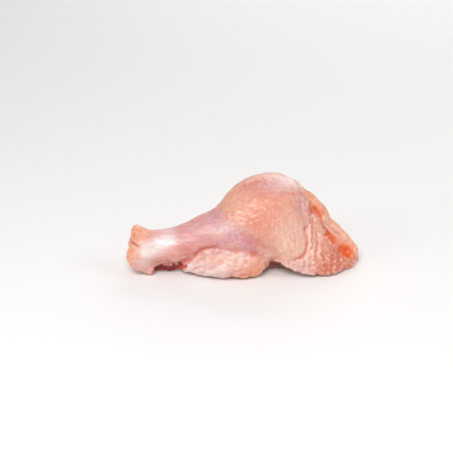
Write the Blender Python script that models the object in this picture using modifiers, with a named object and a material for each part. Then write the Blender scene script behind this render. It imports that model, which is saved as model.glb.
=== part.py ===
"""A raw chicken drumette lying on its side: the first joint of a wing, with its skin on.

Sizes are in millimetres while the form is worked out, and MM turns them into metres at the end.
+X runs along the bone, from the knuckle to the free flap of skin. -Y is the shown side. +Z is up.
"""

import math
from collections import namedtuple

import bmesh
import bpy
import numpy as np
from mathutils import Matrix, Vector, noise

MM = 0.001

# ---- driving dimensions ----
FLAP_REACH = 104.0  # from the knuckle's end to the tip of the skin flap
SKIN_THICK = 2.6  # the loose flap, skin with its fat
VOXEL = 0.62  # grid that fuses the pieces into one solid
MOST_TRIANGLES = 11000
PLEAT_GAP = 5.2  # between the far side's pleats
PLEAT_DEPTH = 1.0
LOOSE_LUMPS = 0.55  # how far loose fat and rolled edges rise and sink
JOINT = (4.0, -6.0, 11.5)  # a point on the line through the middle of the cut joint
JOINT_FACING = np.array((-0.8, 0.6, 0.0))
JOINT_RADIUS = 4.6
JOINT_DEPTH = 1.3
BOARD_DEPTH = 20.0  # of the block that cuts the underside flat

# Creases are laid out on a sheet that leans back over the piece: x along the bone, rise up the sheet.
LEAN = math.radians(26.0)
SHEET_FOOT = -17.0  # y of the line where the sheet meets the board
TOWARDS_FRONT = Vector((0.0, -math.cos(LEAN), math.sin(LEAN)))

# Meat, bone and the skin that clings to them, as oval sections across the bone.
Section = namedtuple("Section", "x y z half_depth half_height")
BODY = (
    Section(3.2, -8.4, 11.6, 4.4, 5.4),
    Section(6.0, -8.4, 11.4, 7.0, 7.8),
    Section(12.0, -8.0, 11.2, 7.6, 8.1),
    Section(17.0, -7.5, 11.3, 7.4, 7.7),
    Section(24.0, -6.5, 12.0, 8.4, 8.6),
    Section(32.0, -4.5, 13.6, 10.0, 10.1),
    Section(40.0, -2.0, 15.4, 12.5, 11.6),
    Section(47.0, 0.0, 17.8, 16.5, 16.5),
    Section(54.0, 2.0, 19.0, 19.0, 19.7),
    Section(62.0, 3.0, 19.8, 20.5, 21.3),
    Section(70.0, 3.5, 19.5, 19.8, 20.8),
    Section(76.0, 3.8, 18.8, 17.8, 18.6),
    Section(80.5, 4.0, 18.0, 14.6, 15.8),
    Section(83.0, 4.2, 17.6, 10.0, 11.4),
    Section(84.0, 4.2, 17.4, 5.0, 6.0),
)

# Rounded lumps: the knuckle's two heads, a corner of the upper one, its middle and its nub, the bare
# meat, and the skin's pouch.
Lump = namedtuple("Lump", "x y z half_length half_depth half_height")
LUMPS = (
    Lump(6.6, -10.2, 8.2, 6.6, 7.0, 7.7),
    Lump(6.1, -6.6, 14.7, 4.9, 6.4, 5.7),
    Lump(4.9, -6.2, 18.6, 2.3, 3.6, 2.1),
    Lump(8.0, -9.0, 11.8, 6.6, 8.4, 8.7),
    Lump(10.3, -12.8, 2.8, 2.9, 2.9, 3.1),
    Lump(75.5, 5.5, 16.6, 16.0, 14.6, 14.6),
    Lump(69.0, -6.4, 14.6, 11.4, 10.7, 10.2),
)

# Rolls of skin, fat and meat: the path of each roll's middle, with its radius. The lining is the fat
# that backs the flap where pockets sink into it.
Roll = namedtuple("Roll", "x y z radius")
WEB = (
    Roll(25.5, -12.0, 3.6, 2.2),
    Roll(31.0, -13.6, 4.8, 4.2),
    Roll(38.0, -14.6, 6.0, 5.9),
    Roll(47.0, -14.8, 6.4, 6.6),
    Roll(54.0, -13.8, 6.6, 6.6),
    Roll(59.0, -11.6, 6.8, 5.2),
    Roll(60.0, -7.6, 8.6, 4.0),
)
WEB_LOBES = (
    (Roll(29.5, -13.2, 6.4, 2.2), Roll(34.5, -13.9, 8.4, 3.1), Roll(39.5, -13.2, 9.2, 2.8)),
    (Roll(43.5, -16.4, 4.4, 2.8), Roll(50.0, -16.9, 4.2, 3.7), Roll(57.6, -15.4, 4.2, 3.6)),
)
WEB_FILL = (
    Roll(40.0, -5.0, 9.0, 5.0),
    Roll(46.0, -8.6, 9.8, 6.4),
    Roll(53.0, -9.4, 11.0, 7.6),
    Roll(59.0, -6.6, 12.0, 7.4),
)
UNDER_BONE = (
    Roll(10.0, -10.8, 2.2, 2.2),
    Roll(18.0, -10.2, 2.0, 2.1),
    Roll(25.0, -10.0, 2.4, 2.4),
    Roll(32.0, -8.0, 4.4, 4.4),
    Roll(38.0, -6.0, 6.0, 5.4),
)
RIM = (
    Roll(70.0, 6.5, 37.4, 1.6),
    Roll(76.5, 7.8, 35.0, 2.2),
    Roll(82.2, 8.0, 30.1, 2.4),
    Roll(86.8, 7.2, 23.4, 2.5),
    Roll(91.8, 5.8, 16.2, 2.7),
    Roll(97.4, 3.8, 10.2, 2.9),
    Roll(101.4, 1.6, 5.8, 3.0),
    Roll(102.3, -1.6, 3.4, 2.6),
    Roll(100.8, -5.0, 2.2, 2.1),
    Roll(96.0, -10.2, 1.7, 1.8),
)
FLAP_LINING = (
    Roll(81.5, 2.6, 25.0, 2.2),
    Roll(86.0, -1.6, 16.6, 2.5),
    Roll(89.2, -3.4, 11.0, 3.0),
    Roll(92.6, -3.4, 8.2, 2.8),
    Roll(98.0, -2.6, 5.2, 2.0),
)
FAR_RIM = (
    Roll(74.5, 8.0, 35.8, 1.3),
    Roll(79.6, 14.6, 28.6, 1.9),
    Roll(81.4, 18.4, 20.8, 2.2),
    Roll(80.8, 18.8, 13.0, 2.3),
    Roll(77.6, 14.6, 5.2, 2.2),
    Roll(73.0, 7.0, 2.6, 1.8),
)
ALL_ROLLS = (WEB, *WEB_LOBES, WEB_FILL, UNDER_BONE, RIM, FLAP_LINING, FAR_RIM)

# The loose flap hangs from its upper edge to its lower edge and bows out between them.
Hang = namedtuple("Hang", "top foot bow")
FLAP = (
    Hang((68.0, 5.5, 38.6), (64.0, -12.0, 8.4), 8.0),
    Hang((77.0, 6.6, 34.0), (70.5, -14.6, 6.2), 8.0),
    Hang((83.4, 6.8, 27.8), (76.5, -15.8, 3.0), 7.2),
    Hang((88.4, 6.0, 20.4), (83.5, -16.0, 1.5), 6.0),
    Hang((93.8, 4.6, 13.0), (90.2, -14.6, 1.3), 4.6),
    Hang((99.2, 2.4, 7.2), (96.4, -10.6, 1.3), 3.2),
    Hang((102.2, -0.4, 3.6), (101.2, -4.6, 1.8), 1.5),
)

# Creases and ridges on the shown side, as (x, rise) on the leaning sheet. A ridge has a negative depth.
Crease = namedtuple("Crease", "depth width path")
CREASES = (
    Crease(0.7, 0.8, ((-1.0, 17.6), (2.7, 17.0), (6.3, 13.8))),
    Crease(0.8, 1.2, ((24.0, 6.4), (28.4, 8.1), (31.0, 10.4), (34.2, 13.0), (40.5, 13.9))),
    Crease(0.6, 1.2, ((38.6, 4.2), (42.0, 7.0), (46.0, 8.4), (53.0, 8.2))),
    Crease(0.6, 1.2, ((29.7, 3.2), (32.9, 5.2), (37.5, 5.0))),
    Crease(1.1, 2.4, ((50.5, 19.4), (55.0, 17.9), (60.8, 14.6), (66.6, 9.4))),
    Crease(0.9, 1.2, ((80.3, 22.0), (80.1, 13.5), (77.4, 9.0), (72.2, 7.4))),
    Crease(0.8, 1.8, ((78.4, 33.5), (80.0, 28.0), (80.3, 22.0))),
    Crease(0.7, 1.2, ((78.0, 39.4), (81.6, 34.9))),
    Crease(1.5, 1.2, ((83.0, 33.0), (86.6, 28.2), (88.0, 23.8), (91.2, 20.0), (95.2, 15.6))),
    Crease(1.4, 1.6, ((84.8, 31.6), (86.8, 28.6))),
    Crease(1.3, 1.6, ((90.6, 19.6), (93.8, 16.8))),
    Crease(2.2, 2.1, ((97.2, 13.2), (99.4, 12.0))),
    Crease(0.6, 1.0, ((81.6, 30.6), (83.6, 23.9), (82.8, 17.1), (81.6, 11.0))),
    Crease(0.5, 1.0, ((85.3, 23.9), (85.2, 14.9), (84.0, 8.4))),
    Crease(0.5, 1.1, ((88.2, 14.9), (88.4, 4.6))),
    Crease(0.6, 1.1, ((91.6, 14.9), (91.9, 5.5))),
    Crease(0.6, 1.1, ((94.8, 13.4), (95.1, 5.9))),
    Crease(-0.8, 1.3, ((46.0, 38.0), (53.6, 43.4), (60.8, 45.2), (68.9, 43.7))),
    Crease(1.0, 3.4, ((76.4, 35.0), (78.4, 31.5))),
)

# ---- smooth curves ----
def through(knots, values, at):
    """A smooth curve that passes through values at knots, read at other places."""
    knots = np.asarray(knots, float)
    values = np.asarray(values, float)
    slopes = np.gradient(values, knots, axis=0)
    first = np.clip(np.searchsorted(knots, at, side="right") - 1, 0, len(knots) - 2)
    gap = (knots[first + 1] - knots[first])[:, None]
    t = (at - knots[first])[:, None] / gap
    start, end = values[first], values[first + 1]
    rise = start + (end - start) * t * t * (3 - 2 * t)
    return rise + gap * t * (1 - t) * (slopes[first] * (1 - t) - slopes[first + 1] * t)


def along(points, steps):
    """Evenly spread places on a smooth curve through points."""
    points = np.asarray(points, float)
    lengths = np.linalg.norm(np.diff(points[:, :3], axis=0), axis=1)
    walked = np.concatenate([[0.0], np.cumsum(lengths)])
    return through(walked, points, np.linspace(0.0, walked[-1], steps))


# ---- pieces ----
def new_object(name, mesh_or_curve):
    obj = bpy.data.objects.new(name, mesh_or_curve)
    bpy.context.scene.collection.objects.link(obj)
    return obj


def evaluated_copy(obj, name):
    """Turns an object with its modifiers into a plain mesh object and removes the first."""
    graph = bpy.context.evaluated_depsgraph_get()
    mesh = bpy.data.meshes.new_from_object(obj.evaluated_get(graph))
    bpy.data.objects.remove(obj)
    return new_object(name, mesh)


def make_body(rings=70, sides=40):
    """Lofts the oval sections into one closed form."""
    knots = [section.x for section in BODY]
    at = np.linspace(knots[0], knots[-1], rings)
    shape = through(knots, [section[1:] for section in BODY], at)
    bm = bmesh.new()
    loops = []
    for x, (y, z, half_depth, half_height) in zip(at, shape):
        loop = []
        for side in range(sides):
            turn = 2 * math.pi * side / sides
            place = (x, y + half_depth * math.cos(turn), z + half_height * math.sin(turn))
            loop.append(bm.verts.new(place))
        loops.append(loop)
    for near, far in zip(loops, loops[1:]):
        for side in range(sides):
            after = (side + 1) % sides
            bm.faces.new((near[side], far[side], far[after], near[after]))
    bm.faces.new(loops[0])
    bm.faces.new(reversed(loops[-1]))
    bmesh.ops.recalc_face_normals(bm, faces=bm.faces)
    mesh = bpy.data.meshes.new("body")
    bm.to_mesh(mesh)
    bm.free()
    return new_object("body", mesh)


def make_roll(name, rolls, steps=40):
    """A tube of changing thickness with rounded ends."""
    curve = bpy.data.curves.new(name, "CURVE")
    curve.dimensions = "3D"
    curve.bevel_depth = 1.0
    curve.bevel_resolution = 4
    curve.use_fill_caps = True
    spline = curve.splines.new("POLY")
    places = along(rolls, steps)
    spline.points.add(len(places) - 1)
    for point, (x, y, z, radius) in zip(spline.points, places):
        point.co = (x, y, z, 1.0)
        point.radius = radius
    tube = evaluated_copy(new_object(name, curve), name)
    bm = bmesh.new()
    bm.from_mesh(tube.data)
    bmesh.ops.remove_doubles(bm, verts=bm.verts, dist=0.01)
    for end in (places[0], places[-1]):
        ball = bmesh.ops.create_uvsphere(bm, u_segments=16, v_segments=10, radius=end[3])
        bmesh.ops.translate(bm, verts=ball["verts"], vec=Vector(end[:3]))
    bm.to_mesh(tube.data)
    bm.free()
    return tube


def make_lumps():
    bm = bmesh.new()
    for lump in LUMPS:
        size = Matrix.Diagonal((lump.half_length, lump.half_depth, lump.half_height, 1.0))
        place = Matrix.Translation((lump.x, lump.y, lump.z))
        bmesh.ops.create_uvsphere(bm, u_segments=40, v_segments=24, radius=1.0, matrix=place @ size)
    mesh = bpy.data.meshes.new("lumps")
    bm.to_mesh(mesh)
    bm.free()
    return new_object("lumps", mesh)


def make_flap(across=26, down=26):
    """The loose skin past the meat, as a bowed sheet given its thickness."""
    line = along([(*hang.foot, *hang.top, hang.bow) for hang in FLAP], across)
    bm = bmesh.new()
    bmesh.ops.create_grid(bm, x_segments=across - 1, y_segments=down - 1, size=0.5)
    bm.verts.ensure_lookup_table()
    for vert in bm.verts:
        column = round((vert.co.x + 0.5) * (across - 1))
        share = vert.co.y + 0.5
        foot, top, bow = Vector(line[column][:3]), Vector(line[column][3:6]), line[column][6]
        vert.co = foot.lerp(top, share) + TOWARDS_FRONT * bow * 4 * share * (1 - share)
    mesh = bpy.data.meshes.new("flap")
    bm.to_mesh(mesh)
    bm.free()
    sheet = new_object("flap", mesh)
    solidify = sheet.modifiers.new("thickness", "SOLIDIFY")
    solidify.thickness = SKIN_THICK
    solidify.offset = 0.0
    return evaluated_copy(sheet, "flap")


def fuse(pieces):
    """Joins the overlapping pieces into one skin and softens where they meet."""
    bm = bmesh.new()
    for piece in pieces:
        bm.from_mesh(piece.data)
    mesh = bpy.data.meshes.new("fused")
    bm.to_mesh(mesh)
    bm.free()
    for piece in pieces:
        bpy.data.objects.remove(piece)
    fused = new_object("fused", mesh)
    remesh = fused.modifiers.new("fuse", "REMESH")
    remesh.mode = "VOXEL"
    remesh.voxel_size = VOXEL
    soften = fused.modifiers.new("soften", "SMOOTH")
    soften.factor = 0.5
    soften.iterations = 12
    return evaluated_copy(fused, "fused")


# ---- relief ----
def smooth_step(low, high, value):
    t = np.clip((value - low) / (high - low), 0.0, 1.0)
    return t * t * (3 - 2 * t)


def distance_to_path(points, path):
    """Shortest distance from each flat point to a path of straight legs."""
    nearest = np.full(len(points), np.inf)
    for start, end in zip(path, path[1:]):
        start, leg = np.asarray(start, float), np.subtract(end, start)
        share = np.clip((points - start) @ leg / (leg @ leg), 0.0, 1.0)
        nearest = np.minimum(nearest, np.linalg.norm(points - start - share[:, None] * leg, axis=1))
    return nearest


def noise_at(points, size, seed):
    """Smooth noise from -1 to 1, with lumps of about this size."""
    offset = Vector((seed * 17.3, seed * 5.1, seed * 9.7))
    return np.array([noise.noise(Vector(point) / size + offset) for point in points])


def shown_relief(co, normal):
    """How far the creases of the shown side sink each point in."""
    sheet = np.column_stack([co[:, 0], rise_on_sheet(co)])
    wobble = 0.6 * np.column_stack([noise_at(co, 6.0, 3), noise_at(co, 6.0, 4)])
    depth = np.zeros(len(co))
    for crease in CREASES:
        away = distance_to_path(sheet + wobble, crease.path)
        depth += crease.depth * np.exp(-((away / crease.width) ** 2))
    return depth * smooth_step(0.05, 0.45, normal @ np.array(TOWARDS_FRONT))


def rise_on_sheet(co):
    return co[:, 2] * math.cos(LEAN) + (co[:, 1] - SHEET_FOOT) * math.sin(LEAN)


def far_relief(co, normal):
    """Slanting pleats over the far side, strongest on the shoulder."""
    across = co[:, 0] * 0.80 + co[:, 2] * 0.60 + 3.0 * noise_at(co, 14.0, 7)
    pleats = 1 - np.abs(np.sin(math.pi * across / PLEAT_GAP))
    shoulder = np.exp(-(((co[:, 0] - 57.0) / 17.0) ** 2 + ((co[:, 2] - 20.0) / 15.0) ** 2))
    return PLEAT_DEPTH * pleats**2 * shoulder * smooth_step(0.1, 0.6, normal[:, 1])


def joint_relief(co, normal):
    """A ring sunk round the cut joint, so that its end stands out like a bead in the skin."""
    across = co - np.array(JOINT)
    across -= (across @ JOINT_FACING)[:, None] * JOINT_FACING
    ring = np.exp(-(((np.linalg.norm(across, axis=1) - JOINT_RADIUS) / 1.2) ** 2))
    return JOINT_DEPTH * ring * smooth_step(0.2, 0.6, normal @ JOINT_FACING) * (co[:, 0] < 12.0)


def unevenness(co):
    """Broad lumps everywhere, and smaller ones on loose fat and on the rolled edges."""
    loose = np.zeros(len(co))
    for rolls, reach in ((WEB, 7.0), (UNDER_BONE, 3.5), (RIM, 3.6), (FAR_RIM, 3.6)):
        path = [roll[:3] for roll in rolls]
        loose = np.maximum(loose, np.exp(-((distance_to_path(co, path) / reach) ** 4)))
    waves = smooth_step(80.0, 86.0, co[:, 0]) * noise_at(co, 7.0, 5)
    small = noise_at(co, 3.4, 2)
    return 0.55 * noise_at(co, 11.0, 1) + 0.18 * small + LOOSE_LUMPS * loose * small + 0.5 * waves


def press_relief(obj):
    """Moves every point along its normal by the creases, the pleats and some unevenness."""
    mesh = obj.data
    count = len(mesh.vertices)
    co = np.empty(count * 3)
    mesh.vertices.foreach_get("co", co)
    co = co.reshape(-1, 3)
    normal = np.empty(count * 3)
    mesh.vertex_normals.foreach_get("vector", normal)
    normal = normal.reshape(-1, 3)
    depth = shown_relief(co, normal) + far_relief(co, normal) + joint_relief(co, normal)
    depth -= unevenness(co)
    mesh.vertices.foreach_set("co", (co - normal * depth[:, None]).ravel())
    mesh.update()
    return obj


# ---- finishing ----
def cut_flat(obj):
    """Presses the underside flat where it rests, by cutting away what lies below the board's top."""
    bpy.ops.mesh.primitive_cube_add(size=1.0)
    board = bpy.context.object
    board.name = "board_cutter"
    board.data.transform(Matrix.Diagonal((2 * FLAP_REACH, 2 * FLAP_REACH, BOARD_DEPTH, 1.0)))
    board.location = (FLAP_REACH / 2, 0.0, -BOARD_DEPTH / 2)
    board.hide_render = True
    board.display_type = "WIRE"
    cut = obj.modifiers.new("rest", "BOOLEAN")
    cut.operation = "DIFFERENCE"
    cut.object = board
    done = evaluated_copy(obj, "rested")
    bpy.data.objects.remove(board)
    return done


def thin_out(obj):
    """Spends few triangles on smooth skin and more on folds."""
    triangulate = obj.modifiers.new("triangles", "TRIANGULATE")
    triangulate.min_vertices = 4
    whole = evaluated_copy(obj, "whole")
    decimate = whole.modifiers.new("thin", "DECIMATE")
    decimate.ratio = MOST_TRIANGLES / len(whole.data.polygons)
    return evaluated_copy(whole, "drumette")


def place_at_origin(obj):
    """Metres, standing on z = 0 with the middle of the bounding box over the origin."""
    co = np.array([vert.co for vert in obj.data.vertices])
    low, high = co.min(axis=0), co.max(axis=0)
    shift = np.array([(low[0] + high[0]) / 2, (low[1] + high[1]) / 2, low[2]])
    obj.data.vertices.foreach_set("co", ((co - shift) * MM).ravel())
    obj.data.update()


def skin_material():
    material = bpy.data.materials.new("skin")
    material.use_nodes = True
    shader = material.node_tree.nodes["Principled BSDF"]
    shader.inputs["Base Color"].default_value = (0.82, 0.42, 0.31, 1.0)
    shader.inputs["Roughness"].default_value = 0.35
    shader.inputs["Metallic"].default_value = 0.0
    return material


def main():
    for obj in list(bpy.data.objects):
        bpy.data.objects.remove(obj)
    pieces = [make_body(), make_lumps(), make_flap()]
    pieces += [make_roll("roll", rolls) for rolls in ALL_ROLLS]
    drumette = thin_out(cut_flat(press_relief(fuse(pieces))))
    place_at_origin(drumette)
    drumette.name = drumette.data.name = "drumette"
    drumette.data.materials.append(skin_material())
    drumette.data.shade_smooth()
    collection = bpy.data.collections.new("chicken_drumette")
    bpy.context.scene.collection.children.link(collection)
    bpy.context.scene.collection.objects.unlink(drumette)
    collection.objects.link(drumette)


main()
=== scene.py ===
"""The looks of a raw chicken drumette: wet pimpled skin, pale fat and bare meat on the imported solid.

The relief is worked out in millimetres: x from the knuckle along the bone, y to the far side, z up.
What shows in the photograph is laid out on a sheet that leans back over the piece, facing the camera:
x along the bone, and rise up the sheet from the line where it meets the floor.
"""

import math
from collections import namedtuple

import bmesh
import bpy
import numpy as np
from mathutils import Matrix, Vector, noise

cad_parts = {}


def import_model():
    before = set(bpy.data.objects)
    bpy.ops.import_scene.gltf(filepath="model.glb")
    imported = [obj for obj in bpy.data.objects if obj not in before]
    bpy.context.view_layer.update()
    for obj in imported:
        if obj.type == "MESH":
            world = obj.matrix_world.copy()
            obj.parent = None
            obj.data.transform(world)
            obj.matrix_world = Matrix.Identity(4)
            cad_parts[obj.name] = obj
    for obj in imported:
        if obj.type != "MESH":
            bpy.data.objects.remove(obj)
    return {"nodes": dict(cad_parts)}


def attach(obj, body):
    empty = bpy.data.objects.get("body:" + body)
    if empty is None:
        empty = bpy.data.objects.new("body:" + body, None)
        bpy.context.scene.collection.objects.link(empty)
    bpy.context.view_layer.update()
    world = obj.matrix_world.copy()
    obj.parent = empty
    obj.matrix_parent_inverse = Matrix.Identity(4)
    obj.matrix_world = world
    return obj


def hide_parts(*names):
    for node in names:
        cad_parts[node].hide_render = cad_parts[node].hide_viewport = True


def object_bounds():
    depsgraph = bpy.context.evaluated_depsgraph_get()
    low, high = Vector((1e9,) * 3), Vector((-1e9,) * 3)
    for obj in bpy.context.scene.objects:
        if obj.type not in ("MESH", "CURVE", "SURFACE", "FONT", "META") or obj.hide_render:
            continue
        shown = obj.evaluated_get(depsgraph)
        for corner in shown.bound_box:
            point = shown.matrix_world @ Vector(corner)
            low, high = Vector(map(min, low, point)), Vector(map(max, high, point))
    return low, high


MM = 0.001

# ---- the photograph's view ----
LEAN = math.radians(26.0)  # how far the camera looks down
CAMERA_DISTANCE = 0.55
FRAME_WIDTH = 0.2039  # what the picture spans at the piece
FRAME_CENTRE = (44.8, 23.2)  # on the leaning sheet, in mm
SHEET_FOOT = -17.0  # y of the sheet's line on the floor
TOWARDS_CAMERA = np.array((0.0, -math.cos(LEAN), math.sin(LEAN)))

# ---- the fine skin ----
LOW_CORNER = np.array((0.25, -21.22, 0.0))  # of the solid's box, in the millimetres used here
GRID = 0.40  # between the points of the fine skin
SMOOTHINGS = 8  # passes that take the grid's steps out of it
SKIN_RADIUS = 18.0  # at which the follicles keep their true spacing round the bone
FOLLICLE_GAP = 2.1
RIB_GAP = 3.0  # between the columns of pimples on the flap
BEAD_GAP = 2.1  # between the pimples of a column
FOLLICLE_HEIGHT = 0.24
FAR_EXTRA_HEIGHT = 0.12  # what the follicles gain on the far side
BEAD_HEIGHT = 0.85
RAW_DEPTH = 0.7  # how far the strip under the bone sinks
FULL_BEND = 0.035  # at which a hollow gets its whole painted shade, or a crest its whole painted highlight
FULL_CREASE = 1.5  # the depth at which a crease gets its whole painted shade

# How far drawn, ragged, torn and twisted lines wander from their course.
DRAWN_DRIFT = 0.6
RAGGED_DRIFT = 1.2
TORN_DRIFT = 0.9
TWIST = 1.4

# Size and seed of the patterns that both the relief and the tints follow.
UPRIGHT = ((0.9, 3.0, 3.5), 31)
DABS = ((2.8, 1.0, 1.0), 39)


# ---- shapes to lay on the skin ----
class Oval(namedtuple("Oval", "strength centre reach")):
    """A soft patch, strongest in its middle and fading out over its reach."""

    def on(self, points):
        away = (points - np.asarray(self.centre)) / np.asarray(self.reach)
        return self.strength * np.exp(-(away**2).sum(axis=1))


class Streak(namedtuple("Streak", "strength start end width")):
    """A soft line, fading out over its width."""

    def on(self, points):
        away = distance_to_path(points, (self.start, self.end)) / self.width
        return self.strength * np.exp(-(away**2))


# Lines drawn on the sheet, fading at both ends. A ridge has a negative depth.
Crease = namedtuple("Crease", "depth width path")
KNUCKLE_NOTCH = Crease(0.7, 0.35, ((-3.0, 18.2), (0.4, 17.4), (2.7, 16.8), (7.0, 13.6)))
WEB_EDGE = Crease(0.6, 0.5, (
    (22.0, 5.8), (24.0, 6.6), (28.4, 8.1), (31.0, 10.4), (34.2, 13.0), (39.0, 13.9), (43.0, 13.0),
))
WEB_FOLD = Crease(0.4, 0.5, ((29.7, 3.2), (32.9, 5.4), (36.5, 5.0)))
POUCH_EDGE = Crease(0.7, 0.5, ((81.2, 20.0), (80.3, 15.8), (79.6, 12.2), (77.6, 9.4), (73.6, 7.9)))
RIM_EDGE = Crease(0.7, 0.7, (
    (79.6, 37.4), (83.0, 33.0), (86.6, 28.2), (88.0, 23.8), (91.2, 20.0), (95.2, 15.6),
))
FLAP_FOLDS = (
    Crease(0.5, 0.6, ((80.6, 33.6), (82.6, 28.6), (83.6, 22.9), (82.8, 16.0), (81.8, 12.0))),
    Crease(0.5, 0.6, ((85.3, 24.4), (85.2, 15.9), (84.0, 9.4))),
    Crease(0.4, 0.5, ((84.2, 27.8), (84.8, 21.0), (83.9, 16.0))),
)
RIM_TROUGH = Crease(0.35, 0.6, ((85.6, 29.4), (88.6, 25.4), (93.8, 21.2), (97.6, 17.4)))
RIM_RIDGE = Crease(-0.5, 0.9, ((87.6, 29.2), (92.0, 24.9), (96.6, 20.6), (101.4, 15.4)))
TOP_RIDGE = Crease(-0.5, 0.7, ((49.0, 40.6), (53.6, 43.0), (60.8, 44.9), (67.9, 43.9)))
CREASES = (
    KNUCKLE_NOTCH, WEB_EDGE, WEB_FOLD, POUCH_EDGE, RIM_EDGE, *FLAP_FOLDS, RIM_TROUGH, RIM_RIDGE, TOP_RIDGE,
)
CREASE_FADE = 0.3  # the share of a crease's length over which each end fades

# The pockets along the flap's upper edge. Their strength is their depth.
POCKETS = (
    Streak(1.0, (84.8, 31.6), (86.8, 29.0), 1.2),
    Streak(1.1, (90.8, 19.4), (93.4, 17.2), 1.2),
    Streak(1.6, (97.6, 13.2), (99.6, 11.8), 1.8),
)

# Low lumps on the sheet and, in space, the dips where the round end's outline runs down into the
# flap's rim. Their strength is their height or depth.
KNUCKLE_LUMPS = (Oval(0.9, (0.5, 15.6), (3.0, 1.7)), Oval(0.5, (4.4, 23.6), (2.4, 1.0)))
SHOULDER_DIPS = (
    Streak(0.8, (72.0, 12.0, 37.5), (79.0, 9.2, 35.6), 5.0),
    Oval(1.3, (82.8, 9.0, 32.3), (4.0, 7.0, 4.0)),
)

# Outlines of the parts of the skin on the sheet.
FLAP = (
    (66.0, 8.8), (72.2, 7.6), (77.4, 9.2), (80.1, 14.0), (80.3, 22.0), (81.5, 28.0), (84.0, 30.5),
    (88.0, 24.0), (91.2, 20.0), (95.2, 15.8), (98.0, 13.5), (106.0, 9.0), (104.0, -2.0), (80.0, -3.0),
    (66.0, 3.0),
)
RIM = (
    (76.0, 43.0), (80.0, 37.0), (83.6, 32.4), (86.8, 28.0), (88.2, 24.0), (91.4, 20.2), (95.4, 15.8),
    (99.0, 13.6), (101.0, 9.0), (112.0, 9.0), (112.0, 52.0), (76.0, 52.0),
)
WEB = (
    (23.0, 6.6), (28.4, 8.1), (31.0, 10.4), (34.2, 13.0), (40.5, 13.9), (48.0, 11.5), (55.0, 10.5),
    (60.0, 9.5), (66.0, 6.0), (64.0, -4.0), (22.0, -4.0),
)
UNDER_BONE = (
    (12.4, 3.0), (13.4, 5.4), (15.6, 6.2), (18.2, 5.6), (21.0, 6.0), (24.0, 6.9), (27.6, 6.0),
    (27.0, 4.4), (23.0, 2.4), (17.0, 1.8),
)
SHADED_GAP = ((61.5, 8.2), (71.0, 7.6), (71.0, 0.0), (60.5, 0.0))  # between the fold of fat and the flap, painted dark red as shade
SHADED_GAP_FRONT = (-13.5, -11.5)  # y over which the gap's painted shade begins
SOFT_EDGE = 1.6  # the band over which an outline fades
RIM_SOFT_EDGE = 1.2
RAW_SOFT_EDGE = 1.4

# Parts without an outline, on the sheet.
POUCH = Oval(1.0, (73.0, 17.0), (9.0, 12.0))
FRINGE = Streak(1.0, (12.5, 7.9), (27.0, 8.8), 1.3)  # of torn skin along the raw strip
FOLDS = Streak(1.0, (81.0, 31.0), (83.5, 12.0), 4.0)  # where the flap leaves the meat
TAUT = Oval(1.0, (63.0, 33.0), (11.0, 9.0))  # smooth middle of the round end
DABBED = Oval(1.0, (50.5, 27.0), (7.5, 8.5))  # with small horizontal wrinkles, their glints painted in cream
# Where the fold of fat runs smoothly into the round end.
WEB_MERGES = (Oval(1.0, (49.0, 12.5), (7.0, 3.0)), Oval(0.7, (36.5, 10.0), (5.0, 3.0)))

# From where to where along the bone a part fades in.
KNUCKLE_END = (11.0, 4.5)
SHANK_END = (46.0, 34.0)
MEAT_BEGINS = (80.5, 83.0)
FAR_HEM_BEGINS = (60.0, 74.0)
LUMPY_FLAP_END = (88.0, 80.0)
PALE_WEB_END = (60.0, 40.0)
PALE_FLAP_END = (87.0, 80.0)
MEAT_EDGE_SHADE_END = (87.0, 82.5)
BLOOD_AND_SHADE_END = (27.0, 20.0)
LOOSE_BEGINS = (82.0, 92.0)

# From which to which facing a part fades in: 1 is straight at the camera, -1 straight away from it.
SHOWN_FACING = (0.0, 0.35)
FLAP_FACING = (-0.7, -0.35)
RIM_FACING = (-0.35, 0.0)
WEB_FACING = (-0.5, -0.1)
UNDER_FACING = (-0.6, -0.1)
MEAT_FACING = (0.15, -0.15)
UNSEEN_FACING = (0.2, -0.2)
FAR_HEM_FACING = (0.1, -0.3)
FLAP_BRINK_FACING = (0.5, 0.1)
KNUCKLE_BRINK_FACING = (0.6, 0.1)

# ---- the joint and the bare meat, in space ----
JOINT = np.array((4.0, -6.0, 11.5))
JOINT_FACING = np.array((-0.8, 0.6, 0.0))
JOINT_RADIUS = 4.6
JOINT_SOFT_EDGE = 0.6
JOINT_RIM = (2.4, 4.2)  # radii over which the joint turns from cartilage to its red rim
JOINT_REACH = 12.0  # x beyond which nothing is taken for the joint
MEAT_CENTRE = np.array((75.5, 5.5, 16.6))
MEAT_REACH = np.array((16.0, 14.6, 14.6))
MEAT_BRINK = (1.13, 1.03)  # shares of that reach over which the meat begins
BONE_LINE = (3.5, 18.5)  # y and z of the middle of the meaty end

# ---- where the tints lie on the sheet ----
LAVENDER = (
    Oval(0.7, (30.0, 20.0), (13.0, 7.0)),
    Oval(1.1, (39.0, 26.5), (7.0, 5.5)),
    Streak(1.3, (47.0, 19.6), (55.5, 14.6), 4.4),
    Oval(0.9, (43.0, 15.6), (6.0, 4.0)),
    Oval(0.8, (78.0, 33.5), (3.0, 5.5)),
    Oval(0.5, (61.0, 41.0), (13.0, 4.5)),
    Oval(0.6, (76.0, 5.0), (6.0, 3.6)),
)
BLUSH_AND_NOTCH_SHADE = (
    Oval(1.0, (56.8, 12.0), (2.0, 2.2)),
    Oval(0.55, (56.5, 16.0), (4.0, 2.2)),
    Oval(0.5, (30.0, 11.0), (7.0, 3.0)),
    Streak(0.5, (69.0, 38.0), (79.0, 37.5), 1.0),
    # Painted shade in the knuckle's notch.
    Streak(0.4, (1.0, 17.0), (6.6, 14.0), 1.1),
)
TOP_BLUSH = Oval(0.35, (59.0, 40.5), (12.0, 4.0))
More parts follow.
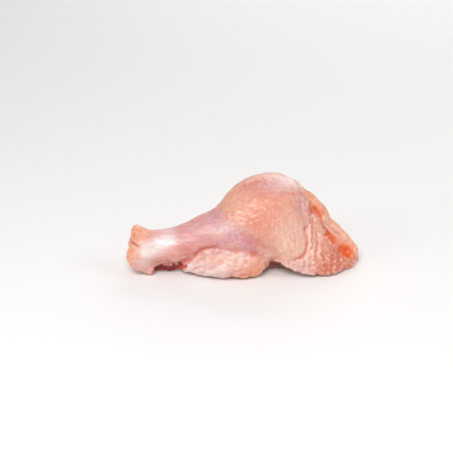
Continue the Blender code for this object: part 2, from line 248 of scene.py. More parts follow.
WARM = (Oval(1.0, (62.0, 28.0), (11.0, 9.0)), Oval(0.8, (51.0, 5.0), (9.0, 4.0)))
WEB_CROWN = Oval(0.6, (43.0, 8.6), (9.0, 2.4))
# Pale skin on the top of the round end, lightened further as a painted highlight.
PALE_TOP_AND_HIGHLIGHT = Oval(1.0, (71.0, 43.0), (9.0, 4.0))
# Pale membrane on the shank, with a painted highlight over it.
PALE_SHANK_AND_HIGHLIGHT = Streak(1.3, (9.5, 12.2), (19.5, 17.8), 3.6)
PALE_SHANK_SPECKS = Oval(0.7, (13.0, 9.2), (6.0, 2.4))
PALE_KNUCKLE = Oval(0.65, (8.0, 6.5), (4.5, 4.5))
# A pale stripe along the rim's edge, which also paints light over the trough's shade.
PALE_RIM_AND_PAINTED_LIGHT = Streak(0.35, (86.5, 27.5), (100.0, 16.4), 1.8)
# A painted highlight between the shank and the round end.
PAINTED_MIDDLE_HIGHLIGHT = Oval(0.9, (43.0, 22.0), (7.0, 3.2))
# Painted light in the hollow above the gap.
PAINTED_LIGHT_ABOVE_GAP = Oval(0.5, (63.8, 10.3), (3.0, 3.4))
# A near-white painted highlight along the shank.
PAINTED_SHANK_HIGHLIGHT = Streak(1.0, (10.0, 11.8), (18.5, 16.2), 3.2)
FAT_WEB = Oval(0.6, (55.0, 5.0), (7.0, 5.0))
FAT_TIP = Oval(1.0, (102.0, 8.0), (4.0, 6.0))
# Cream glints painted on the shoulder and between the shank and the round end.
CREAM_SHOULDER_GLINTS = Oval(0.35, (48.5, 34.0), (8.0, 7.0))
PAINTED_MIDDLE_GLINTS = Oval(0.25, (41.5, 22.4), (4.5, 2.2))
WET_SHANK = Streak(1.0, (10.5, 12.5), (18.5, 17.0), 4.5)
WET_MIDDLE = Oval(1.0, (42.5, 21.5), (6.5, 4.0))
WET_TOP = Oval(0.4, (71.0, 43.0), (9.0, 4.0))


# ---- smooth functions of place ----
def step(low, high, value):
    """Rises smoothly from 0 at low to 1 at high."""
    t = np.clip((value - low) / (high - low), 0.0, 1.0)
    return t * t * (3 - 2 * t)


def between(low, high, share):
    """Runs from low, where the share is 0, to high, where it is 1."""
    return low + (high - low) * share


def noise_at(points, size, seed):
    """Smooth noise from -1 to 1, with lumps of this size, which may differ along each axis."""
    offset = Vector((seed * 17.3, seed * 5.1, seed * 9.7))
    return np.array([noise.noise(Vector(point) + offset) for point in points / np.asarray(size, float)])


def drift(points, size, seeds):
    """A smooth shift of each point, from -1 to 1 along as many axes as there are seeds."""
    return np.column_stack([noise_at(points, size, seed) for seed in seeds])


def along_path(points, path):
    """Each point's distance to a path of straight legs, and the share of the path passed there."""
    nearest = np.full(len(points), np.inf)
    passed = np.zeros(len(points))
    length_so_far = 0.0
    for start, end in zip(path, path[1:]):
        start, leg = np.asarray(start, float), np.subtract(end, start)
        length = np.linalg.norm(leg)
        share = np.clip((points - start) @ leg / length**2, 0.0, 1.0)
        away = np.linalg.norm(points - start - share[:, None] * leg, axis=1)
        closer = away < nearest
        nearest[closer] = away[closer]
        passed[closer] = length_so_far + length * share[closer]
        length_so_far += length
    return nearest, passed / length_so_far


def distance_to_path(points, path):
    return along_path(points, path)[0]


def within(points, outline, soft):
    """1 inside a flat outline and 0 outside it, fading over a band this wide."""
    inside = np.zeros(len(points), bool)
    x, y = points.T
    closed = outline + outline[:1]
    for (x0, y0), (x1, y1) in zip(closed, closed[1:]):
        if y0 != y1:
            crosses = (y0 > y) != (y1 > y)
            inside ^= crosses & (x < (x1 - x0) * (y - y0) / (y1 - y0) + x0)
    away = distance_to_path(points, closed)
    return step(-soft / 2, soft / 2, np.where(inside, away, -away))


def strongest(masks):
    return np.maximum.reduce(list(masks))


def bumps(u, v, gap):
    """Domes from 0 to 1 on a lattice of triangles, the way follicles lie."""
    total = 0.0
    for turn in (0.0, math.pi / 3, 2 * math.pi / 3):
        total = total + np.cos(2 * math.pi * (u * math.cos(turn) + v * math.sin(turn)) / gap)
    return np.clip((total / 3 + 0.25) / 1.25, 0.0, 1.0) ** 1.5


def pebbles(points, gap, seed):
    """Domes from 0 to 1 scattered without order, about this far apart."""
    offset = Vector((seed * 3.7, seed * 11.9, seed * 6.1))
    away = np.array([noise.voronoi(Vector(point) + offset)[0][0] for point in points / gap])
    return np.exp(-((away / 0.42) ** 2))


# ---- the fine mesh ----
def new_piece(name, data):
    piece = bpy.data.objects.new(name, data)
    bpy.context.scene.collection.objects.link(piece)
    return piece


def fine_copy(node, name):
    """A close-meshed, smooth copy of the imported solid, for relief that the solid is too coarse to hold."""
    bm = bmesh.new()
    bm.from_mesh(node.data)
    bmesh.ops.remove_doubles(bm, verts=bm.verts, dist=0.001 * MM)
    mesh = bpy.data.meshes.new(name)
    bm.to_mesh(mesh)
    bm.free()
    coarse = new_piece("coarse", mesh)
    round_off = coarse.modifiers.new("round_off", "SUBSURF")
    round_off.levels = 1
    remesh = coarse.modifiers.new("remesh", "REMESH")
    remesh.mode = "VOXEL"
    remesh.voxel_size = GRID * MM
    soften = coarse.modifiers.new("soften", "SMOOTH")
    soften.factor = 0.5
    soften.iterations = SMOOTHINGS
    graph = bpy.context.evaluated_depsgraph_get()
    fine = bpy.data.meshes.new_from_object(coarse.evaluated_get(graph))
    bpy.data.objects.remove(coarse)
    fine.name = name
    return new_piece(name, fine)


class Skin:
    """The points of the fine skin with what the relief and the tints are worked out from."""

    def __init__(self, mesh, corner):
        co = np.empty(len(mesh.vertices) * 3)
        mesh.vertices.foreach_get("co", co)
        self.mesh = mesh
        self.corner = corner
        self.co = (co.reshape(-1, 3) - corner) / MM + LOW_CORNER
        self.normal = self.read_normals()
        rise = self.co[:, 2] * math.cos(LEAN) + (self.co[:, 1] - SHEET_FOOT) * math.sin(LEAN)
        self.sheet = np.column_stack([self.co[:, 0], rise])
        self.facing = self.normal @ TOWARDS_CAMERA
        self.shown = step(*SHOWN_FACING, self.facing)
        self.drawn = self.sheet + DRAWN_DRIFT * drift(self.co, 6.0, (3, 4))
        turn = np.arctan2(self.co[:, 2] - BONE_LINE[1], self.co[:, 1] - BONE_LINE[0])
        self.around = turn * SKIN_RADIUS
        self.find_loose_parts()
        self.find_bare_parts()

    def read_normals(self):
        normal = np.empty(len(self.mesh.vertices) * 3)
        self.mesh.vertex_normals.foreach_get("vector", normal)
        return normal.reshape(-1, 3)

    def noise(self, size, seed):
        return noise_at(self.co, size, seed)

    def find_loose_parts(self):
        """Masks of the skin's own parts, from 0 to 1."""
        x, rise = self.sheet.T
        ragged = self.sheet + RAGGED_DRIFT * drift(self.co, 3.0, (5, 6))
        self.flap = within(ragged, FLAP, SOFT_EDGE) * step(*FLAP_FACING, self.facing)
        self.rim = within(self.drawn, RIM, RIM_SOFT_EDGE) * step(*RIM_FACING, self.facing)
        self.web = within(ragged, WEB, SOFT_EDGE) * step(*WEB_FACING, self.facing)
        self.knuckle = step(*KNUCKLE_END, x - 0.5 * (rise - 15.0))
        self.shank = step(*SHANK_END, x + 0.35 * (rise - 18.0)) * (1 - self.web)
        self.pouch = POUCH.on(self.sheet) * self.shown * (1 - self.flap)
        self.folds = FOLDS.on(self.sheet) * self.shown
        self.taut = TAUT.on(self.sheet) * self.shown
        self.dabbed = DABBED.on(self.sheet) * self.shown

    def find_bare_parts(self):
        """Masks of what the skin leaves bare or the camera doesn't see, from 0 to 1."""
        x = self.co[:, 0]
        off_centre = np.linalg.norm((self.co - MEAT_CENTRE) / MEAT_REACH, axis=1)
        end_on = step(0.5, 0.8, self.normal[:, 0]) * (1 - self.flap) * (1 - self.rim)
        open_there = np.maximum(step(*MEAT_FACING, self.facing), end_on)
        self.meat = step(*MEAT_BRINK, off_centre) * step(*MEAT_BEGINS, x) * open_there
        across = self.co - JOINT
        across = across - (across @ JOINT_FACING)[:, None] * JOINT_FACING
        self.from_joint = np.linalg.norm(across, axis=1)
        in_radius = step(JOINT_RADIUS + JOINT_SOFT_EDGE, JOINT_RADIUS - JOINT_SOFT_EDGE, self.from_joint)
        self.joint = step(0.1, 0.5, self.normal @ JOINT_FACING) * in_radius * (x < JOINT_REACH)
        torn = self.sheet + TORN_DRIFT * drift(self.co, 1.8, (7, 8))
        self.under = within(torn, UNDER_BONE, RAW_SOFT_EDGE) * step(*UNDER_FACING, self.facing)
        self.fringe = FRINGE.on(torn) * self.shown * (1 - self.under)
        # The gap's inside is painted dark red as shade.
        self.gap = within(self.drawn, SHADED_GAP, SOFT_EDGE) * step(*SHADED_GAP_FRONT, self.co[:, 1]) * self.shown
        self.far_hem = step(*FAR_HEM_BEGINS, x) * step(*FAR_HEM_FACING, self.facing) * (1 - self.meat)
        self.unseen = step(*UNSEEN_FACING, self.facing) * (1 - self.meat)

    def move(self, lift):
        """Moves each point out along its normal, and keeps all of them on or above the floor."""
        self.co = self.co + self.normal * lift[:, None]
        self.co[:, 2] = np.maximum(self.co[:, 2], 0.0)
        place = (self.co - LOW_CORNER) * MM + self.corner
        self.mesh.vertices.foreach_set("co", place.ravel())
        self.mesh.update()

    def bend(self):
        """How hollow (over 0) or raised (under 0) the skin is at each point, in mm at the grid's scale."""
        ends = np.empty(len(self.mesh.edges) * 2, int)
        self.mesh.edges.foreach_get("vertices", ends)
        first, second = ends.reshape(-1, 2).T
        count = np.bincount(ends, minlength=len(self.co))

        def beside(values):
            there = np.bincount(first, values[second], len(count))
            return (there + np.bincount(second, values[first], len(count))) / np.maximum(count, 1)

        middle = np.column_stack([beside(axis) for axis in self.co.T])
        bend = ((middle - self.co) * self.read_normals()).sum(axis=1)
        for _ in range(3):
            bend = 0.5 * bend + 0.5 * beside(bend)
        return bend

    def keep(self, name, values):
        """Stores a mask on the mesh, for the material to read."""
        layer = self.mesh.attributes.new(name, "FLOAT", "POINT")
        layer.data.foreach_set("value", np.clip(values, 0.0, 1.0).astype(np.float32))


# ---- relief, in mm ----
def drawn_creases(skin):
    depth = np.zeros(len(skin.co))
    for crease in CREASES:
        away, share = along_path(skin.drawn, crease.path)
        fade = step(0.0, CREASE_FADE, share) * step(1.0, 1.0 - CREASE_FADE, share)
        depth += crease.depth * fade * np.exp(-((away / crease.width) ** 2))
    for pocket in POCKETS:
        depth += pocket.on(skin.drawn)
    return depth * skin.shown


def follicles(skin):
    """Pimples over the loose skin. They fade where it is tight, as on the shank, and on bare meat."""
    u = 0.7 * skin.co[:, 0] + 1.8 * skin.noise(7.0, 11) + 0.8 * skin.noise(2.8, 15)
    v = skin.around + 1.8 * skin.noise(7.0, 12) + 0.8 * skin.noise(2.8, 16)
    smooth = (1 - 0.6 * skin.taut) * (1 - 0.6 * skin.dabbed)
    rows = bumps(u, v, FOLLICLE_GAP) * step(-0.5, 0.5, skin.noise(6.0, 13)) * smooth
    cover = (1 - 0.9 * skin.shank) * (1 - 0.4 * skin.web) * (1 - skin.flap) * (1 - skin.rim)
    cover = cover * (1 - skin.meat) * (1 - skin.joint)
    return (0.6 * rows + 0.4 * pebbles(skin.co, 1.7, 14)) * cover


def flap_pimples(skin):
    """Ragged columns of pimples down the loose flap, coarser and taller towards its lower edge."""
    x, rise = skin.sheet.T
    column = x + 0.12 * rise + 1.8 * skin.noise(5.5, 21)
    row = rise + 1.8 * skin.noise(4.0, 22)
    ribs = 0.5 + 0.5 * np.cos(2 * math.pi * column / RIB_GAP)
    staggered = row / BEAD_GAP + 0.5 * np.round(column / RIB_GAP)
    beads = 0.5 + 0.5 * np.cos(2 * math.pi * staggered)
    strength = between(0.4, 1.0, step(-0.4, 0.5, skin.noise(4.0, 23)))
    ordered = ribs * between(0.4, 1.0, beads) * strength
    taller_below = between(0.3, 1.0, step(27.0, 8.0, rise))
    inner = taller_below * (0.65 * ordered + 0.35 * pebbles(skin.co, 1.8, 24))
    brink = 0.95 * step(*FLAP_BRINK_FACING, skin.facing) * pebbles(skin.co, 1.6, 25)
    return skin.flap * (1 - skin.meat) * np.maximum(inner, brink)


def crumples(skin):
    """Low bumps that run no one way, tallest on loose fat and on torn edges."""
    small = skin.noise(1.7, 33)
    large = skin.noise(3.2, 34)
    lobes = 2.4 * np.abs(skin.noise(5.4, 38)) - 0.6
    lumpy_flap = skin.flap * step(*LUMPY_FLAP_END, skin.co[:, 0])
    knuckle_brink = skin.knuckle * step(*KNUCKLE_BRINK_FACING, skin.facing) * (1 - skin.joint)
    return (
        (0.28 * small + 0.35 * large) * skin.rim
        + (0.25 * small + 0.50 * lobes) * skin.web
        + (0.14 * small + 0.20 * large) * skin.knuckle
        + (0.35 * small + 0.30 * large) * skin.under
        + 0.22 * small * skin.folds
        + 0.30 * small * skin.flap
        + 0.45 * large * lumpy_flap
        + 0.35 * skin.noise(1.5, 51) * knuckle_brink
        + 0.13 * skin.noise(2.6, 36) * (1 - 0.6 * skin.shank) * (1 - skin.meat)
    )


def straight_folds(skin):
    """Fine folds, dabs and fibres that run one way: up the pouch, and along the rest."""
    return (
        0.16 * skin.noise(*UPRIGHT) * skin.pouch
        + 0.14 * skin.noise((7.0, 1.3, 1.3), 32) * skin.shank
        + 0.22 * skin.noise(*DABS) * skin.dabbed
        + 0.20 * skin.noise((4.0, 0.9, 4.0), 35) * skin.meat
    )


def twisted_folds(skin):
    """Folds that wander: where the flap leaves the meat, in the torn fringe and along the far hem."""
    twisted = skin.co + TWIST * drift(skin.co, 4.0, (47, 48, 49))
    return (
        0.36 * noise_at(twisted, (0.8, 5.0, 6.0), 37) * skin.folds
        + 0.40 * noise_at(twisted, (4.0, 0.9, 0.9), 40) * skin.fringe
        + 0.32 * noise_at(twisted, (12.0, 2.6, 2.6), 45) * skin.far_hem
    )


def sculpt(skin):
    """Raises and sinks the skin, and keeps masks of its creases, pimples, hollows and crests; creases and
    hollows get painted shade, crests a painted highlight.
    """
    creases = drawn_creases(skin)
    pimples = follicles(skin)
    columns = flap_pimples(skin)
    pimple_height = FOLLICLE_HEIGHT + FAR_EXTRA_HEIGHT * (1 - skin.shown)
    folds = crumples(skin) + straight_folds(skin) + twisted_folds(skin)
    lumps = sum(lump.on(skin.sheet) for lump in KNUCKLE_LUMPS)
    raised = pimple_height * pimples + BEAD_HEIGHT * columns + folds + lumps
    sunk = creases + RAW_DEPTH * skin.under + sum(dip.on(skin.co) for dip in SHOULDER_DIPS)
    skin.move(raised - sunk)
    # The crease mask paints shade along the creases.
    skin.keep("crease", creases / FULL_CREASE)
    skin.keep("pimple", pimples)
    skin.keep("bead", columns)
    bend = skin.bend() / FULL_BEND
    merging = strongest(place.on(skin.sheet) for place in WEB_MERGES)
    # Hollows are painted with shade, less where the fold of fat runs into the round end.
    skin.keep("hollow", bend * between(0.6, 1.0, skin.shown) * (1 - 0.7 * merging))
    # Crests get a painted highlight.
    skin.keep("painted_crest_highlight", -bend * (1 - 0.5 * skin.web))


# ---- masks of where each tint lies, from 0 to 1 ----
Patterns = namedtuple("Patterns", "patchy streaky fine upright")


def tint_patterns(skin):
    """Uneven patterns from 0 to 1 that break up the tints."""
    return Patterns(
        patchy=0.5 + 0.5 * skin.noise(3.6, 41),
        streaky=0.5 + 0.5 * skin.noise((6.0, 1.5, 1.5), 42),
        fine=0.5 + 0.5 * skin.noise(1.6, 44),
        upright=0.5 + 0.5 * skin.noise(*UPRIGHT),
    )


def lavender(skin, uneven):
    stains = strongest(patch.on(skin.sheet) for patch in LAVENDER) * skin.shown
    far_stains = 0.6 * skin.unseen * step(0.0, 0.5, skin.noise(13.0, 43)) * uneven.patchy
    return stains * between(0.45, 1.25, uneven.patchy) + far_stains


# Red blush, and painted shade in the knuckle's notch.
def blush_and_notch_shade(skin, uneven):
    return skin.shown * strongest([
        *(patch.on(skin.sheet) for patch in BLUSH_AND_NOTCH_SHADE),
        TOP_BLUSH.on(skin.sheet) * between(0.5, 1.3, uneven.streaky),
        0.8 * skin.fringe * uneven.patchy,
    ])


# Pale fat and membrane, with painted highlights and painted light in some of the patches and on the folds.
def pale(skin, uneven):
    on = skin.sheet
    web_fat = skin.web * (0.4 + 0.7 * uneven.patchy + 0.2 * uneven.fine) * (1 - WEB_CROWN.on(on))
    far_fat = between(0.0, 0.45, step(-0.2, 0.5, skin.noise(9.0, 50))) * between(0.4, 1.2, uneven.fine)
    return strongest([
        web_fat * step(*PALE_WEB_END, on[:, 0] - 1.5 * (on[:, 1] - 4.0)),
        skin.unseen * (0.15 + far_fat),
        0.6 * skin.flap * step(*PALE_FLAP_END, on[:, 0]) * between(0.4, 1.3, uneven.fine),
        0.6 * skin.fringe * (1 - uneven.patchy),
        0.5 * skin.meat * step(0.20, 0.55, skin.noise((7.0, 1.1, 4.0), 49)),
        0.4 * skin.shank * step(0.45, 0.85, uneven.streaky),
        0.40 * skin.pouch,
        0.15 * skin.folds,
        skin.shown * pale_and_highlight_patches(on, uneven),
    ])


def pale_and_highlight_patches(on, uneven):
    return strongest([
        PALE_TOP_AND_HIGHLIGHT.on(on) * between(0.6, 1.4, uneven.patchy),
        PALE_SHANK_AND_HIGHLIGHT.on(on) * between(0.7, 1.2, uneven.streaky),
        PALE_SHANK_SPECKS.on(on) * step(0.40, 0.65, uneven.fine),
        PALE_KNUCKLE.on(on) * between(0.5, 1.2, uneven.fine),
        PAINTED_MIDDLE_HIGHLIGHT.on(on) * between(0.5, 1.3, uneven.fine),
        PAINTED_LIGHT_ABOVE_GAP.on(on),
        PALE_RIM_AND_PAINTED_LIGHT.on(on),
    ])


# A streaked painted highlight along the shank.
def painted_shank_highlight(skin, uneven):
    return PAINTED_SHANK_HIGHLIGHT.on(skin.sheet) * skin.shown * between(0.4, 1.1, uneven.streaky)


def warm(skin, uneven):
    return skin.shown * strongest(patch.on(skin.sheet) for patch in WARM)


def fat(skin, uneven):
    far_patches = step(0.1, 0.5, skin.noise(11.0, 46)) * between(0.4, 1.2, uneven.patchy)
    return strongest([
        skin.knuckle * between(0.45, 0.95, uneven.patchy),
        skin.rim * between(0.45, 0.80, uneven.streaky),
        0.3 * skin.unseen * far_patches,
        skin.web * FAT_WEB.on(skin.sheet),
        FAT_TIP.on(skin.sheet) * skin.shown,
    ])


# Painted glints in cream on the wrinkles, folds and rim, and a pale wash over the pouch.
def cream_and_painted_glints(skin, uneven):
    dabs = step(0.05, 0.5, skin.noise(*DABS))
    return strongest([
        0.9 * skin.dabbed * dabs,
        skin.pouch * between(0.25, 0.90, step(0.45, 0.80, uneven.upright)),
        0.5 * skin.folds * step(0.40, 0.75, uneven.upright),
        0.35 * skin.rim * step(0.45, 0.75, uneven.fine),
        CREAM_SHOULDER_GLINTS.on(skin.sheet) * skin.shown,
        PAINTED_MIDDLE_GLINTS.on(skin.sheet) * skin.shown * step(0.45, 0.70, uneven.fine),
    ])


def pocket(skin, uneven):
    wider = [hollow._replace(width=1.25 * hollow.width) for hollow in POCKETS]
    return 0.85 * skin.shown * strongest(hollow.on(skin.sheet) for hollow in wider)


def meat(skin, uneven):
    return skin.meat


# Painted shade on the meat where it meets the skin's edge.
def meat_edge_shade(skin, uneven):
    return skin.meat * step(*MEAT_EDGE_SHADE_END, skin.co[:, 0] + 1.5 * (uneven.patchy - 0.5))


def joint(skin, uneven):
    return skin.joint


def bare(skin, uneven):
    return strongest([skin.meat, skin.under, skin.joint, skin.gap])


# Raw red on the strip under the bone and round the joint, and painted shade in the gap.
def raw_edge_and_gap_shade(skin, uneven):
    joint_rim = skin.joint * step(*JOINT_RIM, skin.from_joint) * between(0.5, 1.2, uneven.patchy)
    return strongest([skin.under, joint_rim, skin.gap])


# Blood red on the raw strip under the bone, darkened as painted shade, and painted shade in the gap.
def blood_and_shade(skin, uneven):
    strip = 1.3 * skin.under * step(*BLOOD_AND_SHADE_END, skin.sheet[:, 0] + 6.0 * (uneven.patchy - 0.5))
    return np.maximum(strip, skin.gap)


def tight(skin, uneven):
    return skin.shank * (1 - skin.knuckle)


def loose(skin, uneven):
    x, rise = skin.sheet.T
    return skin.flap * step(*LOOSE_BEGINS, x - 0.5 * rise + 5.0)


def wet(skin, uneven):
    return strongest([
        WET_SHANK.on(skin.sheet) * skin.shown,
        WET_MIDDLE.on(skin.sheet) * skin.shown,
        WET_TOP.on(skin.sheet),
        0.6 * skin.folds,
        0.6 * skin.unseen,
        0.5 * skin.flap,
        0.4 * skin.dabbed,
        0.4 * skin.pouch,
        0.35 * skin.web,
    ])


MASKS = {
    "lavender": lavender, "blush_and_notch_shade": blush_and_notch_shade, "pale": pale, "painted_shank_highlight": painted_shank_highlight, "warm": warm, "fat": fat,
    "cream_and_painted_glints": cream_and_painted_glints, "pocket": pocket, "meat": meat, "bare": bare, "meat_edge_shade": meat_edge_shade, "joint": joint,
    "raw_edge_and_gap_shade": raw_edge_and_gap_shade, "blood_and_shade": blood_and_shade, "tight": tight, "wet": wet, "loose": loose,
}


def paint(skin):
    """Stores every tint's mask on the mesh."""
    uneven = tint_patterns(skin)
    for name, mask in MASKS.items():
        skin.keep(name, mask(skin, uneven))


# ---- materials ----
def linear(red, green, blue):
    """A colour given in the 0 to 255 of a picture, as the shader's linear values."""
    def one(value):
        value = value / 255
        return value / 12.92 if value <= 0.04045 else ((value + 0.055) / 1.055) ** 2.4
    return (one(red), one(green), one(blue), 1.0)


class Nodes:
    """Short calls for building a node tree."""

    def __init__(self, material):
        material.use_nodes = True
        self.tree = material.node_tree
        self.shader = self.tree.nodes["Principled BSDF"]

    def put(self, kind, **settings):
        made = self.tree.nodes.new(kind)
        for name, value in settings.items():
            setattr(made, name, value)
        return made

    def join(self, source, target):
        self.tree.links.new(source, target)

    def noise(self, scale, detail=3.0, rough=0.55):
        """Noise from 0 to 1, with about this many lumps in a metre."""
        made = self.put("ShaderNodeTexNoise")
        made.inputs["Scale"].default_value = scale
        made.inputs["Detail"].default_value = detail
        made.inputs["Roughness"].default_value = rough
        place = self.put("ShaderNodeTexCoord")
        self.join(place.outputs["Object"], made.inputs["Vector"])
        return made.outputs["Fac"]

    def mask(self, name):
        return self.put("ShaderNodeAttribute", attribute_name=name).outputs["Fac"]

    def maths(self, operation, first, second):
        made = self.put("ShaderNodeMath", operation=operation, use_clamp=True)
        for socket, value in zip(made.inputs, (first, second)):
            if isinstance(value, (int, float)):
                socket.default_value = value
            else:
                self.join(value, socket)
        return made.outputs[0]

    def stretch(self, value, low, high, to_low, to_high):
        """Maps low to to_low and high to to_high, and holds at both ends."""
        made = self.put("ShaderNodeMapRange")
        for name, number in zip(("From Min", "From Max", "To Min", "To Max"), (low, high, to_low, to_high)):
            made.inputs[name].default_value = number
        self.join(value, made.inputs["Value"])
        return made.outputs["Result"]

    def mix(self, amount, first, second):
        made = self.put("ShaderNodeMix", data_type="RGBA")
        self.join(amount, made.inputs[0])
        for socket, value in ((made.inputs[6], first), (made.inputs[7], second)):
            if isinstance(value, tuple):
                socket.default_value = value
            else:
                self.join(value, socket)
        return made.outputs[2]

    def bump(self, height, strength, distance, under=None):
        made = self.put("ShaderNodeBump")
        made.inputs["Strength"].default_value = strength
        made.inputs["Distance"].default_value = distance
        self.join(height, made.inputs["Height"])
        if under is not None:
            self.join(under, made.inputs["Normal"])
        return made.outputs["Normal"]


SKIN_TONES = (linear(216, 132, 106), linear(234, 167, 138))
FRECKLE_COLOUR = linear(206, 104, 82)
SPECK_COLOUR = linear(250, 214, 196)

# How many lumps of each kind lie in a metre of skin.
BLOTCHES = 210.0
FRECKLES = 900.0
SPECKS = 1150.0
FILM = 350.0
FINE_GRAIN = 1500.0
COARSE_GRAIN = 480.0
FILM_RIPPLES = 420.0

# Mask, how strongly it tints, and the tint. Each lies over those before it.
Tint = namedtuple("Tint", "mask strength colour")
TINTS = (
    Tint("warm", 0.70, linear(216, 120, 90)),
    Tint("fat", 0.90, linear(242, 154, 100)),
    Tint("tight", 0.75, linear(216, 142, 134)),
    Tint("loose", 0.85, linear(202, 86, 50)),
    # Pale skin and fat, with painted highlights and painted light in places.
    Tint("pale", 0.88, linear(239, 220, 216)),
    # Painted highlight on the shank.
    Tint("painted_shank_highlight", 0.75, linear(255, 247, 243)),
    Tint("lavender", 0.80, linear(203, 149, 169)),
    # Painted glints in cream, and a pale wash on the pouch.
    Tint("cream_and_painted_glints", 0.70, linear(250, 214, 184)),
    # Red blush, and painted shade in the knuckle's notch.
    Tint("blush_and_notch_shade", 0.80, linear(206, 92, 76)),
    Tint("pimple", 0.18, linear(246, 200, 172)),
    Tint("bead", 0.38, linear(250, 196, 156)),
    # Painted highlight on the crests.
    Tint("painted_crest_highlight", 0.45, linear(250, 204, 184)),
    # Painted shade in the hollows.
    Tint("hollow", 0.50, linear(212, 88, 54)),
    # Painted shade along the creases.
    Tint("crease", 0.40, linear(206, 96, 66)),
    Tint("pocket", 0.95, linear(236, 105, 30)),
    Tint("meat", 0.80, linear(214, 108, 84)),
    # Painted shade on the meat by the skin's edge.
    Tint("meat_edge_shade", 0.70, linear(196, 66, 46)),
    Tint("joint", 0.90, linear(232, 196, 186)),
    # Raw red, and painted shade in the gap.
    Tint("raw_edge_and_gap_shade", 0.90, linear(188, 44, 34)),
    # Dark blood red, deepened as painted shade.
    Tint("blood_and_shade", 0.95, linear(108, 4, 2)),
)


def skin_colour(nodes):
    """Blotched skin with the tints over it, among them painted shade and painted highlights, and fine
    freckles and specks of fat over all.
    """
    blotches = nodes.stretch(nodes.noise(BLOTCHES, 6.0, 0.65), 0.36, 0.64, 0.0, 1.0)
    colour = nodes.mix(blotches, *SKIN_TONES)
    for tint in TINTS:
        amount = nodes.maths("MULTIPLY", nodes.mask(tint.mask), tint.strength)
        colour = nodes.mix(amount, colour, tint.colour)
    freckles = nodes.stretch(nodes.noise(FRECKLES), 0.52, 0.72, 0.0, 0.30)
    colour = nodes.mix(freckles, colour, FRECKLE_COLOUR)
    specks = nodes.stretch(nodes.noise(SPECKS, 2.0), 0.60, 0.74, 0.0, 0.22)
    fatty = nodes.maths("SUBTRACT", specks, nodes.mask("bare"))
    return nodes.mix(fatty, colour, SPECK_COLOUR)


def skin_roughness(nodes):
    """An uneven film, smoother where it is wet and dull in the raw hollows."""
    film = nodes.stretch(nodes.noise(FILM), 0.3, 0.7, 0.42, 0.62)
    wetter = nodes.maths("MULTIPLY", nodes.mask("wet"), 0.20)
    film = nodes.maths("SUBTRACT", film, wetter)
    return nodes.maths("MAXIMUM", film, nodes.mask("raw_edge_and_gap_shade"))


def skin_grain(nodes):
    fine = nodes.bump(nodes.noise(FINE_GRAIN), 0.40, 0.0003)
    return nodes.bump(nodes.noise(COARSE_GRAIN), 0.45, 0.0008, fine)


def skin_material():
    material = bpy.data.materials.new("wet_skin")
    nodes = Nodes(material)
    shader = nodes.shader
    nodes.join(skin_colour(nodes), shader.inputs["Base Color"])
    nodes.join(skin_roughness(nodes), shader.inputs["Roughness"])
    nodes.join(skin_grain(nodes), shader.inputs["Normal"])
    nodes.join(nodes.bump(nodes.noise(FILM_RIPPLES, 2.0), 0.40, 0.0008), shader.inputs["Coat Normal"])
    nodes.join(nodes.stretch(nodes.mask("wet"), 0.0, 1.0, 0.35, 1.0), shader.inputs["Coat Weight"])
    shader.inputs["Coat Roughness"].default_value = 0.17
    shader.inputs["Coat IOR"].default_value = 1.38
    shader.inputs["Specular IOR Level"].default_value = 0.85
    shader.inputs["Subsurface Weight"].default_value = 0.25
    shader.inputs["Subsurface Radius"].default_value = (1.0, 0.35, 0.2)
    shader.inputs["Subsurface Scale"].default_value = 0.003
    return material


# ---- the studio, in metres ----
FLOOR_SIZE = 6.0
FLOOR_COLOUR = (0.88, 0.87, 0.86, 1.0)
WHITE = (1.0, 1.0, 1.0, 1.0)
WORLD_STRENGTH = 0.37
LIT_POINT = (0.0, 0.0, 0.02)
Light = namedtuple("Light", "name place size power")
LIGHTS = (
    Light("key", (-0.10, -0.42, 0.56), (0.42, 0.30), 2.9),
    Light("left", (-0.55, -0.30, 0.30), (0.30, 0.30), 0.65),
    Light("right", (0.50, -0.15, 0.45), (0.30, 0.30), 0.75),
    Light("back", (0.20, 0.60, 0.36), (0.90, 0.50), 2.0),
)


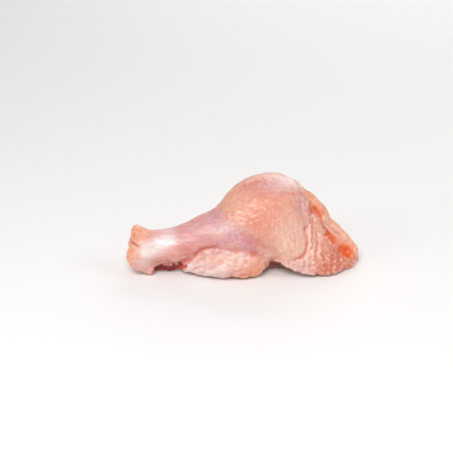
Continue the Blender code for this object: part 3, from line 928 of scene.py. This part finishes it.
def plain_floor():
    bpy.ops.mesh.primitive_plane_add(size=FLOOR_SIZE)
    floor = bpy.context.object
    floor.name = "studio_floor"
    material = bpy.data.materials.new("studio_floor")
    material.use_nodes = True
    shader = material.node_tree.nodes["Principled BSDF"]
    shader.inputs["Base Color"].default_value = FLOOR_COLOUR
    shader.inputs["Roughness"].default_value = 0.8
    floor.data.materials.append(material)


def area_light(light):
    data = bpy.data.lights.new(light.name, "AREA")
    data.shape = "RECTANGLE"
    data.size, data.size_y = light.size
    data.energy = light.power
    lamp = new_piece(light.name, data)
    lamp.location = light.place
    lamp.rotation_euler = (Vector(LIT_POINT) - Vector(light.place)).to_track_quat("-Z", "Y").to_euler()


def studio_lights():
    for light in LIGHTS:
        area_light(light)
    world = bpy.data.worlds.new("studio")
    bpy.context.scene.world = world
    world.use_nodes = True
    background = world.node_tree.nodes["Background"]
    background.inputs["Color"].default_value = WHITE
    background.inputs["Strength"].default_value = WORLD_STRENGTH


def photo_camera(corner):
    """Aims at the point of the sheet that the picture's centre shows."""
    x, rise = FRAME_CENTRE
    z = (rise + SHEET_FOOT * math.sin(LEAN)) / math.cos(LEAN)
    target = (np.array((x, 0.0, z)) - LOW_CORNER) * MM + corner
    data = bpy.data.cameras.new("camera")
    data.lens = data.sensor_width * CAMERA_DISTANCE / FRAME_WIDTH
    camera = new_piece("camera", data)
    camera.location = Vector(target + TOWARDS_CAMERA * CAMERA_DISTANCE)
    camera.rotation_euler = Vector(-TOWARDS_CAMERA).to_track_quat("-Z", "Y").to_euler()
    bpy.context.scene.camera = camera
    bpy.context.scene.view_settings.view_transform = "Standard"


def main():
    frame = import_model()
    solid_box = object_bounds()
    corner = np.array(solid_box[0])
    piece = fine_copy(frame["nodes"]["drumette"], "drumette_skin")
    skin = Skin(piece.data, corner)
    sculpt(skin)
    paint(skin)
    piece.data.materials.clear()
    piece.data.materials.append(skin_material())
    piece.data.shade_smooth()
    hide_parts("drumette")
    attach(piece, "root")
    plain_floor()
    studio_lights()
    photo_camera(corner)


main()
